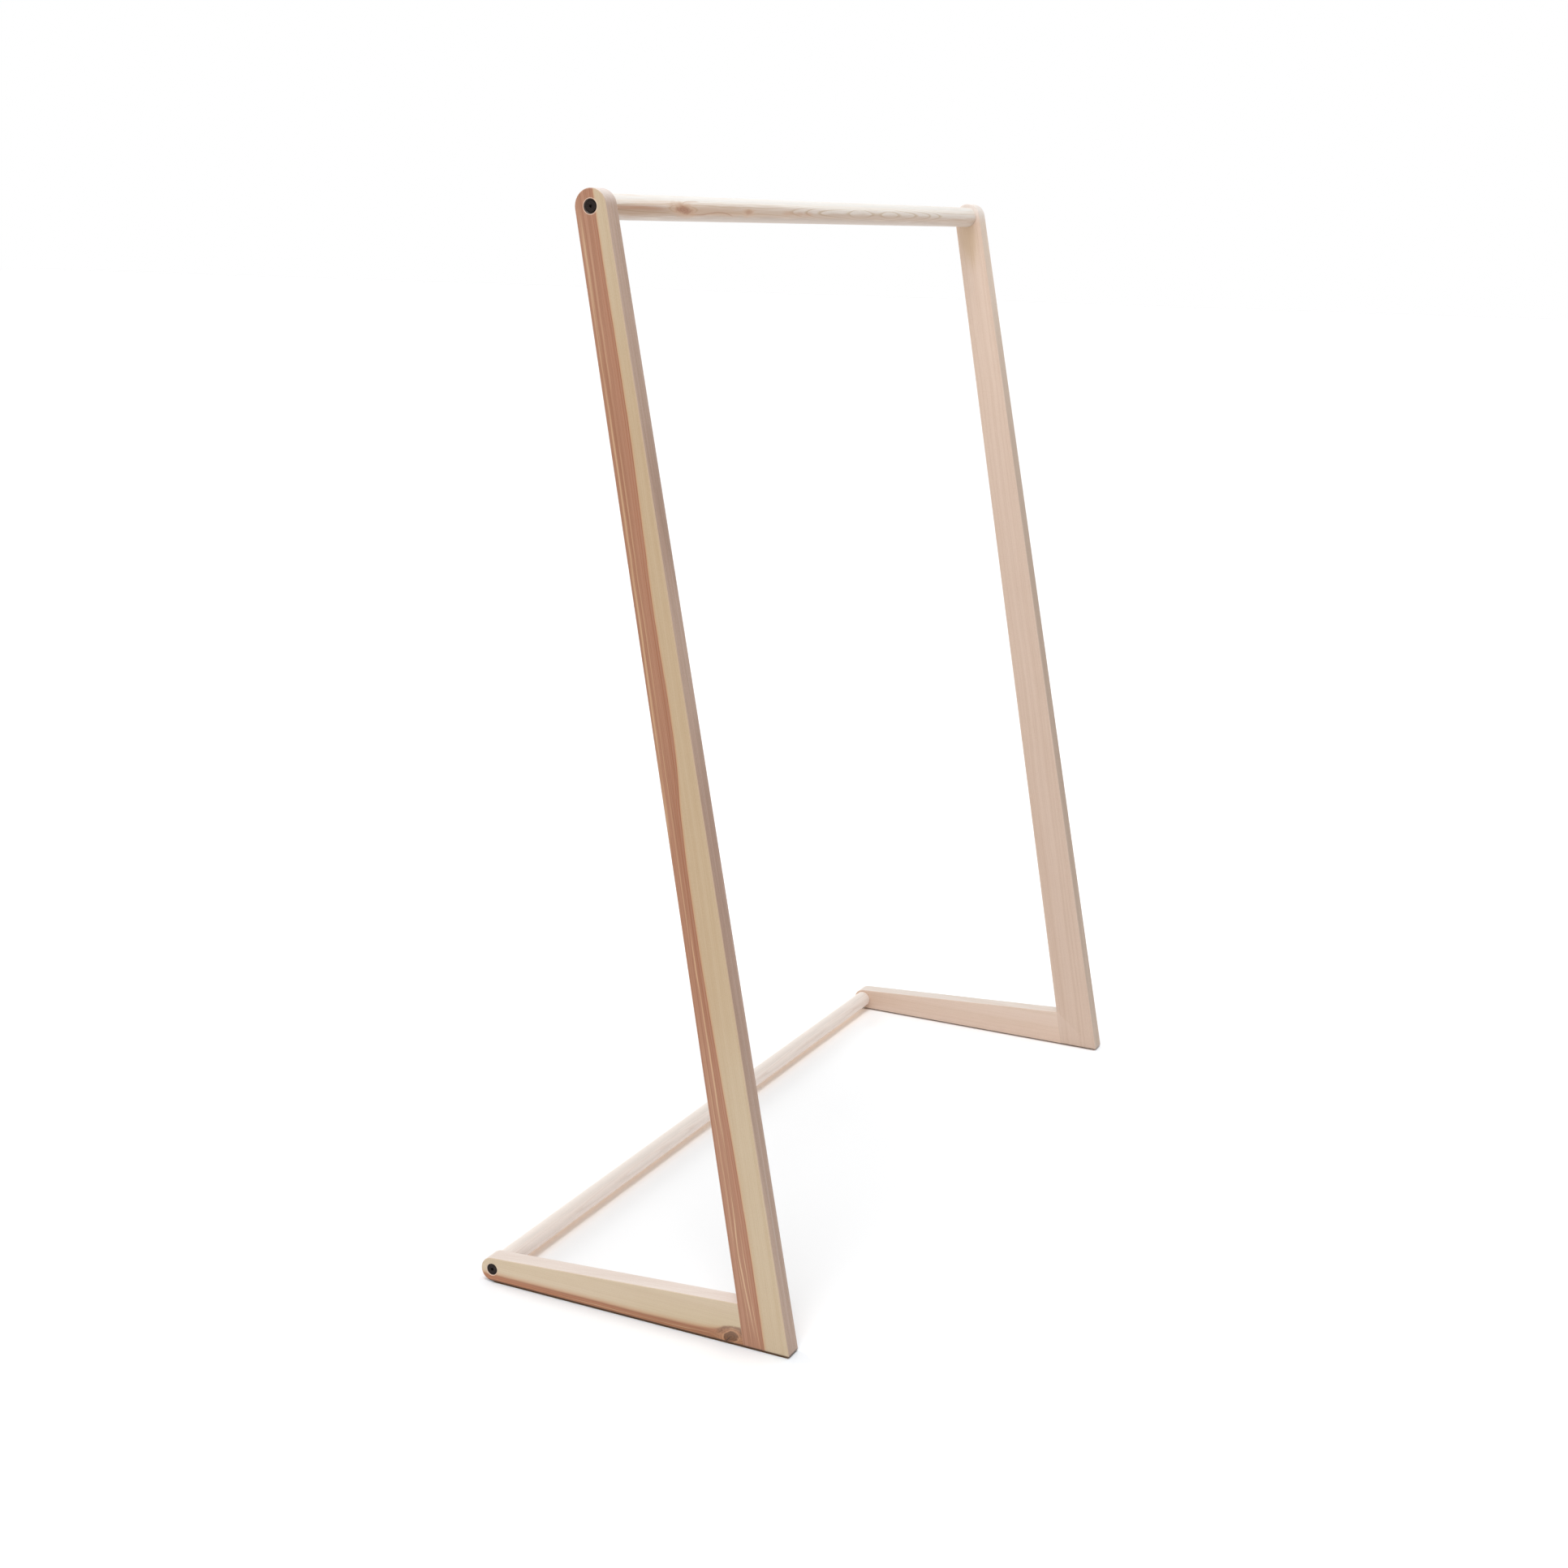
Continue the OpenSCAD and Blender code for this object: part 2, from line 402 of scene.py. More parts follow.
def woodSpace(nodes, turn, origin, flip=1):
    # turn brings the board's length to Z; along, across and deep are 0 at the origin
    scale = 1 / mm
    spin = Matrix.Rotation(turn[1], 3, "Y") @ Matrix.Rotation(turn[0], 3, "X")
    shift = spin @ (Vector(origin) * -scale)
    place = nodes.add("ShaderNodeTexCoord").other("Object")
    mapping = nodes.add("ShaderNodeMapping", {
        "Vector": place,
        "Location": shift,
        "Rotation": (turn[0], turn[1], 0),
        "Scale": (scale, scale, scale),
    }, {"vector_type": "POINT"})
    parts = nodes.add("ShaderNodeSeparateXYZ", {0: mapping})
    deep = parts * flip if flip != 1 else parts
    return parts.other("Z"), parts.other("Y") * -1.0, deep


def pattern(nodes, space, kind):
    along, across, deep = space
    side, length, detail, roughness = grainPatterns[kind]
    where = nodes.point(across * side, deep * side, along * length)
    return nodes.noise(where, 1.0, detail, roughness)


def streaks(nodes, side, along, kind):
    # soft streaks that run along the grain, from 0 to 1
    fineness, speed, detail = streakPatterns[kind]
    return nodes.noise(nodes.point(side * fineness, along * speed), 1.0, detail, 0.6)


def fromPith(nodes, across, deep, pith):
    side = across - pith[0]
    back = deep - pith[1]
    return nodes.maths("SQRT", side * side + back * back)


def awayFrom(nodes, space, middle, size, slant=0.0):
    # distance from a spot's middle, in the spot's own lengths and heights
    left, up = [(space[place] - middle[place]) / size[place] for place in range(2)]
    left = left + up * slant
    return nodes.maths("SQRT", left * left + up * up)


def crackShare(nodes, space, knot):
    (at, off), way = knot["spot"][0], knotShape["crackWay"]
    left, up = space[0] - at, space[1] - off
    line = nodes.bell(left * way[1] + up * way[0], *knotShape["crackLine"])
    run = nodes.within(left * way[0] - up * way[1], *knotShape["crackRun"])
    return line * run * knot["crack"]


def paintKnot(coat, knot, away, space, fibre):
    nodes = coat.nodes
    along, across = space[:2]
    grit = nodes.noise(nodes.point(along * 0.35, across * 0.35), 1.0, 2.0)
    at, off = knot["spot"][0]
    lobes = nodes.noise(nodes.point(along * 0.09, across * 0.13, at), 1.0, 1.0)
    ragged = away + (grit - 0.5) * 0.3 + (lobes - 0.5) * knot["lobes"]
    halo = nodes.rise(ragged, *knotShape["halo"]) * knot["halo"]
    coat.lay(halo, knot["haloColour"])
    if "collar" in knot:
        above = nodes.rise(across, off - 1.0, off + 4.0)
        collar = nodes.bell(ragged, *knotShape["collar"]) * above * 0.85
        coat.lay(collar, knot["collar"])
    if "swirl" in knot:
        turns = nodes.maths("SINE", ragged * knotShape["turns"] + grit * 3.0)
        turns = nodes.rise(turns, 0.0, 1.0) * nodes.rise(ragged, *knotShape["swirl"])
        coat.lay(turns * knot["swirl"], knot["rimColour"])
    if "rim" in knot:
        rim = nodes.bell(ragged, *knotShape["rim"]) * knot["rim"]
        coat.lay(rim, knot["rimColour"])
    whorl = nodes.maths("SINE", away * knotShape["turns"])
    whorl = nodes.rise(whorl, -1.0, 1.0) * 0.5 + fibre * 0.5
    core = nodes.mix(whorl, knot["core"], knot["coreDark"])
    coat.lay(nodes.rise(ragged, 1.0 + knot["soft"], 1.0 - knot["soft"]), core)
    if "crack" in knot:
        coat.lay(crackShare(nodes, space, knot), knotShape["crack"])


def paintHeart(coat, grain, knots, space, growth, late, fibre):
    # reddish heartwood behind an edge that was marked on the face
    nodes = coat.nodes
    along, across, deep = space
    heart, pith = grain["heart"], grain["pith"]
    reach = nodes.traced(along, heart["edge"], grain["length"], traceReach) - pith[0]
    inside = nodes.maths("SQRT", reach * reach + pith[1] ** 2) - fromPith(nodes, across, deep, pith)
    for knot, away in knots:
        inside = inside + nodes.maths("EXPONENT", away * away * -0.3) * knot["lift"]
    inside = inside + (fibre - 0.5) + (streaks(nodes, along, across, "heartEdge") - 0.5) * 0.8
    tone = nodes.rise(streaks(nodes, growth + 40.0, along, "heartBands"), 0.34, 0.66) * 0.7
    tone = tone + nodes.rise(streaks(nodes, growth, along, "heartLines"), 0.35, 0.7) * 0.35
    tone = tone + late * 0.45 + (fibre - 0.5) * 0.8
    red = Coat(nodes, nodes.mix(tone, heart["pale"], heart["dark"]))
    for points, start, end, width, strength in heart["streaks"]:
        path = nodes.traced(along, points, grain["length"], traceReach)
        sway = (streaks(nodes, along, path, "sway") - 0.5) * 3.0
        breaks = nodes.rise(streaks(nodes, along, across, "breaks"), 0.3, 0.55)
        ends = nodes.within(along, start, end, 40)
        share = nodes.bell(across + sway, path, width) * breaks * ends * strength
        red.lay(share, heart["streak"])
    for place, width, strength in heart["lines"]:
        red.lay(nodes.bell(inside, place, width) * strength, heart["line"])
    if "footing" in heart:
        red.lay(nodes.rise(across, heart["footing"], 0.0) * 0.6, heart["dark"])
    coat.lay(nodes.rise(inside, -heart["glow"], 0.0) * 0.6, heart["glowColour"])
    coat.lay(nodes.rise(inside, -heart["blur"], heart["blur"]), red.colour)


def ringGrowth(nodes, grain, knots, space):
    # distance from the pith, as the rings waver, bend and part for knots
    along, across, deep = space
    wander = nodes.noise(nodes.point(0.0, 0.0, along * 0.0022), 1.0, 1.0) - 0.5
    growth = fromPith(nodes, across + wander * grain["wander"], deep, grain["pith"])
    growth = growth + (pattern(nodes, space, "ripple") - 0.5) * grain["wave"]
    if "bends" in grain:
        bend = nodes.traced(along, grain["bends"], grain["length"], bendReach)
        growth = growth + (bend - bendReach / 2)
    for knot, away in knots:
        growth = growth + nodes.maths("EXPONENT", away * away * -0.35) * knot["push"]
    return growth


def lateWood(nodes, grain, growth, along):
    # 1 on the dark line that ends each ring
    rings = growth / grain["ringGap"] + grain.get("ringStart", 0.0)
    rings = rings + streaks(nodes, rings, along, "ringJitter") * grain["jitter"]
    tooth = nodes.maths("FRACT", rings)
    late = nodes.rise(tooth, grain["lateFrom"], 0.93) * nodes.rise(tooth, 1.0, 0.94)
    strong = nodes.rise(streaks(nodes, growth, along, "ringStrength"), 0.25, 0.6)
    return late * (strong * 0.7 + 0.3)


def paintSkin(coat, grain, face, tone, space):
    # lines on the narrow edges, and the wide face's own colours
    nodes = coat.nodes
    along, across, deep = space
    skin = grain["skin"]
    lines = streaks(nodes, deep, along, "edgeLines") * 0.6 + streaks(nodes, deep, across, "edgeBands")
    lines = nodes.rise(lines, 0.55, 1.0) * skin["edgeLines"]
    coat.lay(lines, grain["dark"])
    # a second colour at places along the edges; on the right leg it is painted light, paler towards the
    # top
    if "edgeToneAndLight" in grain:
        share = nodes.traced(along, grain["edgeToneAndLight"], grain["length"], 1)
        coat.lay(share, nodes.mix(tone, *grain["edgeColours"]))
    if "glints" in skin:
        glints = nodes.rise(streaks(nodes, deep + 30.0, along, "glints"), 0.5, 0.7)
        coat.lay(glints * skin["glints"], woodFinish["glint"])
    coat.lay(face, nodes.mix(tone, skin["pale"], skin["dark"]))


def paintMarks(coat, grain, late, space):
    # stains with painted light and shade among them, darker rings, a painted shade on the back, and
    # drawn lines
    nodes = coat.nodes
    along, across, deep = space
    # stains, and patches of painted highlight and shade: paler or darker colour on a part of the board
    for at, off, length, height, strength, tint in grain.get("stainsAndPaintedLight", []):
        ragged = nodes.noise(nodes.point(along * 0.018, across * 0.7, at), 1.0, 4.0)
        away = awayFrom(nodes, space, (at, off), (length, height)) + (ragged - 0.5) * 1.5
        coat.lay(nodes.rise(away, 1.4, 0.4) * strength, tint)
    if "ringTint" in grain:
        coat.lay(late, grain["ringTint"], "MULTIPLY")
    # painted shade: the rail's back and top are painted darker, against the strong light from above
    if "backShade" in grain:
        back = nodes.rise(deep, *grain["backShadeDepths"])
        coat.lay(back, grain["backShade"], "MULTIPLY")
    for points, width, strength, tint in grain.get("lines", []):
        raised = [(at, off + traceReach / 2) for at, off in points]
        path = nodes.traced(along, raised, grain["length"], traceReach)
        ends = nodes.within(along, points[0][0] + 5, points[-1][0] - 5, 10)
        share = nodes.bell(across + traceReach / 2, path, width) * ends * strength
        coat.lay(share, tint)


def paintBore(coat, grain, space):
    # the counterbore with a painted highlight on its rim and painted shade inside it, and painted shade
    # close to the floor
    nodes, bore = coat.nodes, grain["bore"]
    ring = awayFrom(nodes, space, bore["at"], (1.0, 1.0))
    # painted highlight: a pale ring where the counterbore's chamfer catches the light
    rim = nodes.bell(ring, bore["dark"] + 0.75, 0.4) * 0.8
    coat.lay(rim, woodFinish["boreRimHighlight"])
    # painted shade: dark inside the counterbore, round the bolt head
    dark = nodes.rise(ring, bore["dark"] + 0.3, bore["dark"] - 0.1)
    coat.lay(dark, woodFinish["boreRecessShade"])
    # painted shade: the wood is painted darker in its lowest mm, where the feet meet the floor
    place = nodes.add("ShaderNodeTexCoord").other("Object")
    height = nodes.add("ShaderNodeSeparateXYZ", {0: place}).other("Z") * (1 / mm)
    grime = nodes.rise(height, *woodFinish["grimeHeights"]) * grain["grime"]
    coat.lay(grime, woodFinish["grime"])


def woodMaterial(name, turn, origin, grain, flip=1):
    material, nodes, shader = newMaterial(name, {"Specular IOR Level": woodFinish["specular"]})
    space = woodSpace(nodes, turn, origin, flip)
    along, deep = space[0], space[2]
    knots = [(knot, awayFrom(nodes, space, *knot["spot"])) for knot in grain.get("knots", [])]
    growth = ringGrowth(nodes, grain, knots, space)
    late = lateWood(nodes, grain, growth, along)
    fibre = pattern(nodes, space, "fibre")
    mottle = pattern(nodes, space, "mottle")
    bands = nodes.rise(streaks(nodes, growth, along, "bands"), 0.3, 0.7)
    bandShare, lateShare, fibreShare, mottleShare = grain["shares"]
    tone = bands * bandShare + late * lateShare
    tone = tone + (fibre - 0.5) * fibreShare + (mottle - 0.5) * mottleShare
    tone = tone + (pattern(nodes, space, "grit") - 0.5) * 0.8
    coat = Coat(nodes, nodes.mix(tone, grain["pale"], grain["dark"]))
    if "skin" in grain:
        face = nodes.rise(deep, *grain["skin"]["depths"])
        paintSkin(coat, grain, face, tone, space)
    if "heart" in grain:
        paintHeart(coat, grain, knots, space, growth, late, fibre)
    paintMarks(coat, grain, late, space)
    for knot, away in knots:
        paintKnot(coat, knot, away, space, fibre)
    # darker at places along the board; on the right leg this is painted shade
    if "toneAndShade" in grain:
        share = nodes.traced(along, grain["toneAndShade"], grain["length"], 1) * face
        coat.lay(share, grain["toneAndShadeColour"], "MULTIPLY")
    # painted highlight: the top round is painted paler, where the light from above falls brightest
    if "crownHighlight" in grain:
        crownHighlight = nodes.rise(along, *grain["crownHighlight"]) * (1.0 - face * grain["crownHighlightKept"])
        coat.lay(crownHighlight * woodFinish["crownHighlightShare"], woodFinish["crownHighlight"])
    # painted highlight: the sanded edges are painted in a paler colour, where they catch the light
    eased = nodes.add("ShaderNodeAttribute", None, {"attribute_name": "eased"}, "Fac")
    share = grain.get("easedHighlightShare", woodFinish["easedHighlightShare"])
    coat.lay(eased * share, grain["eased"])
    if "bore" in grain:
        paintBore(coat, grain, space)
    bump = nodes.add("ShaderNodeBump", {
        "Strength": 0.5, "Distance": woodFinish["poreDepth"], "Height": fibre * 0.7 + late * 0.3,
    })
    rough = (fibre - 0.5) * 0.16 + woodFinish["roughness"] - late * 0.05
    feed(nodes, shader, Base_Color=coat.colour, Roughness=rough, Normal=bump)
    return material


meshFinish = {"sharpAngle": 32, "mergeDistance": 2e-6, "least": 1e-6}  # degrees and metres


def turningTree():
    # Turns a profile about Z and sets it at every place. A profile's points hold the radius
    # in X, the height in Z and, in Y, how far the round becomes a hexagon.
    tree = bpy.data.node_groups.new("turning", "GeometryNodeTree")
    for name, kind in (("Profile", "Object"), ("Places", "Object"), ("Points", "Int"),
                       ("Sides", "Int"), ("Finish", "Material")):
        tree.interface.new_socket(name, in_out="INPUT", socket_type="NodeSocket" + kind)
    tree.interface.new_socket("Mesh", in_out="OUTPUT", socket_type="NodeSocketGeometry")
    nodes = Nodes(tree)
    given = nodes.add("NodeGroupInput")
    sides = given.other("Sides")
    sheet = nodes.add("GeometryNodeMeshGrid", {
        "Size X": 1.0, "Size Y": 1.0,
        "Vertices X": given.other("Points"), "Vertices Y": sides + 1.0,
    })
    index = nodes.add("GeometryNodeInputIndex")
    row = nodes.maths("FLOOR", (index + 0.5) / (sides + 1.0))
    turn = (index - row * (sides + 1.0)) * (2 * math.pi) / sides
    profile = nodes.add("GeometryNodeObjectInfo", {"Object": given.other("Profile")})
    sample = nodes.add("GeometryNodeSampleIndex", {
        "Geometry": profile.other("Geometry"),
        "Value": nodes.add("GeometryNodeInputPosition"),
        "Index": row,
    }, {"data_type": "FLOAT_VECTOR"})
    parts = nodes.add("ShaderNodeSeparateXYZ", {0: sample})
    flat = nodes.maths("WRAP", turn, math.pi / 6, -math.pi / 6)
    hexagon = (1.0 / nodes.maths("COSINE", flat) - 1.0) * parts.other("Y") + 1.0
    radius = parts * hexagon
    place = nodes.point(
        radius * nodes.maths("COSINE", turn), radius * nodes.maths("SINE", turn), parts.other("Z"))
    shaped = nodes.add("GeometryNodeSetPosition", {"Geometry": sheet, "Position": place})
    values = {"Geometry": shaped, "Distance": meshFinish["mergeDistance"]}
    closed = nodes.add("GeometryNodeMergeByDistance", values)
    smooth = nodes.add("GeometryNodeSetShadeSmooth", {"Geometry": closed})
    places = nodes.add("GeometryNodeObjectInfo", {"Object": given.other("Places")})
    axis = nodes.add("GeometryNodeInputNamedAttribute", {"Name": "axis"}, {"data_type": "FLOAT_VECTOR"})
    aim = nodes.add("FunctionNodeAlignRotationToVector", {"Vector": axis}, {"axis": "Z"})
    spread = nodes.add("GeometryNodeInstanceOnPoints", {
        "Points": places.other("Geometry"), "Instance": smooth, "Rotation": aim,
    })
    real = nodes.add("GeometryNodeRealizeInstances", {"Geometry": spread})
    done = nodes.add("GeometryNodeSetMaterial", {
        "Geometry": real, "Material": given.other("Finish"),
    })
    nodes.add("NodeGroupOutput", {"Mesh": done})
    return tree


turning = turningTree()


def pointCloud(name, points):
    mesh = bpy.data.meshes.new(name)
    mesh.from_pydata(points, [], [])
    return placed(name, mesh)


def finishedMesh(name, maker):
    # the evaluated result as a plain object
    seen = maker.evaluated_get(bpy.context.evaluated_depsgraph_get())
    mesh = bpy.data.meshes.new_from_object(seen)
    mesh.name = name
    shape = bmesh.new()
    shape.from_mesh(mesh)
    bmesh.ops.dissolve_degenerate(shape, dist=meshFinish["least"], edges=shape.edges)
    bmesh.ops.recalc_face_normals(shape, faces=shape.faces)
    shape.to_mesh(mesh)
    shape.free()
    mesh.set_sharp_from_angle(angle=math.radians(meshFinish["sharpAngle"]))
    return placed(name, mesh)


def turned(name, profile, places, finish, sides):
    # profile: (radius, height) or (radius, height, hexagon), in mm from one end to the other
    # places: (point, axis) in metres
    points = [(p[0] * mm, p[2] if len(p) > 2 else 0.0, p[1] * mm) for p in profile]
    line = pointCloud("profile", points)
    spots = pointCloud("places", [point for point, axis in places])
    axes = spots.data.attributes.new("axis", "FLOAT_VECTOR", "POINT")
    for place, (point, axis) in enumerate(places):
        axes.data[place].vector = axis
    maker = pointCloud("maker", [])
    modifier = maker.modifiers.new("turning", "NODES")
    modifier.node_group = turning
    given = {"Profile": line, "Places": spots, "Points": len(profile), "Sides": sides, "Finish": finish}
    for socket in turning.interface.items_tree:
        if socket.in_out == "INPUT":
            modifier[socket.identifier] = given[socket.name]
    piece = finishedMesh(name, maker)
    for spare in (maker, line, spots):
        bpy.data.objects.remove(spare)
    return piece


topLine = middleOf("top_rail")
bottomLine = middleOf("bottom_rail")
legLow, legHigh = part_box("left_leg")
footLow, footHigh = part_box("left_foot")
undersideZ = legLow.z
toeFront = Vector((legLow.y, undersideZ))
toeBack = Vector((footLow.y, undersideZ))
legTopRadius = legHigh.y - topLine.y
footEndRadius = footHigh.y - bottomLine.y
boardThickness = legHigh.x - legLow.x
jointTopZ = footHigh.z


def touchPoint(start, centre, radius, side):
    # where a line from start touches the circle, on its left side for 1 and its right for -1
    away = centre - start
    angle = math.asin(radius / away.length) * side
    reach = math.sqrt(away.length ** 2 - radius ** 2)
    return start + Matrix.Rotation(angle, 2) @ away.normalized() * reach


legCentre = Vector((topLine.y, topLine.z))
legBackTouch = touchPoint(toeBack, legCentre, legTopRadius, -1)
legFrontTouch = touchPoint(toeFront, legCentre, legTopRadius, 1)
legAxis = (legBackTouch - toeBack).normalized()
legLean = math.atan2(legAxis.x, legAxis.y)
jointTop = toeBack + legAxis * ((jointTopZ - undersideZ) / legAxis.y)
footCentre = Vector((bottomLine.y, bottomLine.z))
footTopTouch = touchPoint(jointTop, footCentre, footEndRadius, 1)


boardShape = {
    "easing": 0.9,  # radius of the sanded edges, mm
    "fade": 1.4,  # how many of these radii in from an edge its painted highlight ends
    "steps": 4,
    "toeRound": 1.5,
    "toeSteps": 6,
    "hold": 2.5,  # plain stretch kept beside a round, mm
    "arcSteps": 48,
}

boltSeat = {
    "mouth": 1.2,  # chamfer round the counterbore, mm
    "bore": 16,
    "depth": 3.3,
    "shankBore": 6.5,
    "past": 1,  # how far the cut runs past the board's faces
    "sides": 96,
}

dowelSeat = {"bore": 8.1, "depth": 42, "sides": 48}

nearlyStraight = 0.02  # sine of a corner's turn, below which it counts as none


def arcPoints(centre, start, end, steps):
    # an outline's eased points from start to end round the centre, anticlockwise
    first = math.atan2(start.y - centre.y, start.x - centre.x)
    last = math.atan2(end.y - centre.y, end.x - centre.x)
    if last < first:
        last += 2 * math.pi
    radius = (start - centre).length
    angles = [first + (last - first) * step / steps for step in range(steps + 1)]
    return [(centre + Vector((math.cos(angle), math.sin(angle))) * radius, 1) for angle in angles]


def legOutline(shape):
    # anticlockwise seen along X, each point with 1 or 0: is the edge that starts there eased
    hold = shape["hold"] * mm
    fillet = shape["toeRound"] * mm
    frontWay = (toeFront - legFrontTouch).normalized()
    cut = fillet / math.tan((math.pi - frontWay.angle(Vector((1, 0)))) / 2)
    filletStart = toeFront - frontWay * cut
    filletEnd = toeFront + Vector((cut, 0))
    normal = Vector((-frontWay.y, frontWay.x))
    centre = filletStart + normal * fillet
    points = [(toeBack, 0), (jointTop, 0), (jointTop + legAxis * hold, 1)]
    points += [(legBackTouch - legAxis * hold, 1)]
    points += arcPoints(legCentre, legBackTouch, legFrontTouch, shape["arcSteps"])
    points += [(legFrontTouch + frontWay * hold, 1), (filletStart - frontWay * hold, 1)]
    points += arcPoints(centre, filletStart, filletEnd, shape["toeSteps"])
    points += [(filletEnd + Vector((hold, 0)), 1)]
    return points


def footOutline(shape):
    hold = shape["hold"] * mm
    dip = undersideZ - footCentre.y
    endStart = footCentre + Vector((math.sqrt(max(footEndRadius ** 2 - dip ** 2, 0)), dip))
    topWay = (jointTop - footTopTouch).normalized()
    points = [(toeBack, 1), (endStart - Vector((hold, 0)), 1)]
    points += arcPoints(footCentre, endStart, footTopTouch, shape["arcSteps"])
    points += [(footTopTouch + topWay * hold, 1), (jointTop, 0)]
    return points


def insetCorner(before, eased, after, easedAfter, amount):
    # how an outline's corner moves when its eased edges move in by amount
    first = Vector((-before.y, before.x))
    second = Vector((-after.y, after.x))
    cross = first.x * second.y - first.y * second.x
    if abs(cross) < nearlyStraight:
        return (first + second).normalized() * amount * max(eased, easedAfter)
    one, two = amount * eased, amount * easedAfter
    left, up = one * second.y - two * first.y, first.x * two - second.x * one
    return Vector((left / cross, up / cross))


def boardObject(name, outline, outerX, inward, shape, material):
    # a board cut to the outline, with sanded edges, from its outer face inwards along X
    count = len(outline)
    corners = [point for point, eased in outline]
    edges = [(after - point).normalized() for point, after in zip(corners, corners[1:] + corners[:1])]
    easing = shape["easing"] * mm
    fade = easing * shape["fade"]
    quarter = [math.pi / 2 * step / shape["steps"] for step in range(shape["steps"] + 1)]
    rings = [(fade, 0.0, 0)]
    rings += [(easing * (1 - math.sin(angle)), easing * (1 - math.cos(angle)), 1) for angle in quarter]
    rings += [(0.0, fade, 0)]
    rings += [(inset, boardThickness - depth, mark) for inset, depth, mark in reversed(rings)]
    body = bmesh.new()
    marks = []
    loops = []
    for inset, depth, mark in rings:
        loop = []
        for place in range(count):
            move = insetCorner(
                edges[place - 1], outline[place - 1][1], edges[place], outline[place][1], inset)
            point = corners[place] + move
            loop.append(body.verts.new((outerX + inward * depth, point.x, point.y)))
            marks.append(mark)
        loops.append(loop)
    for near, far in zip(loops, loops[1:]):
        for place in range(count):
            after = (place + 1) % count
            body.faces.new((near[place], near[after], far[after], far[place]))
    body.faces.new(loops[0])
    body.faces.new(loops[-1])
    for face in body.faces:
        face.smooth = True
    bmesh.ops.recalc_face_normals(body, faces=body.faces)
    mesh = bpy.data.meshes.new(name)
    body.to_mesh(mesh)
    body.free()
    # marks the sanded edges, on which the wood material paints a highlight
    eased = mesh.attributes.new("eased", "FLOAT", "POINT")
    eased.data.foreach_set("value", [float(mark) for mark in marks])
    mesh.materials.append(material)
    return placed(name, mesh)


def drilled(name, board, cutters):
    # the board with every cutter taken out of it
    for cutter in cutters:
        cut = board.modifiers.new("cut", "BOOLEAN")
        cut.object = cutter
        cut.solver = "EXACT"
    piece = finishedMesh(name, board)
    bpy.data.objects.remove(board)
    return piece


def boltBore(outerX, inward, line):
    seat = boltSeat
    radius, shank, past = seat["bore"] / 2, seat["shankBore"] / 2, seat["past"]
    through = boardThickness / mm + past
    profile = [
        (0, -past), (radius + seat["mouth"] + past, -past), (radius, seat["mouth"]),
        (radius, seat["depth"]), (shank, seat["depth"]), (shank, through), (0, through),
    ]
    place = ((outerX, line.y, line.z), (inward, 0, 0))
    return turned("bore", profile, [place], None, seat["sides"])


def dowelBore(node):
    radius, half = dowelSeat["bore"] / 2, dowelSeat["depth"] / 2
    profile = [(0, -half), (radius, -half), (radius, half), (0, half)]
    across = (0, legAxis.y, -legAxis.x)
    return turned("bore", profile, [(tuple(middleOf(node)), across)], None, dowelSeat["sides"])


def finish(piece, slot, *nodes):
    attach(piece, "root")
    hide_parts(*nodes)


# In mm. pith: across and deep. wander, wave: how far the rings waver. shares: how strongly
# bands, late wood, fibres and mottling show. The edges' tone, the darker share along a board and the
# heart's edge,
# some of them painted light and shade: places along, with amounts. eased: the sanded edges' colour, a
# painted highlight.
# stains, with painted highlights and shade among them: along, across, half length, half height,
# strength, colour. spot: middle, size, slant.

legLength = 1500
footLength = 480
rose = paint(187, 140, 114)
roseDark = paint(166, 117, 90)
rust = paint(164, 96, 60)
straw = paint(212, 176, 142)

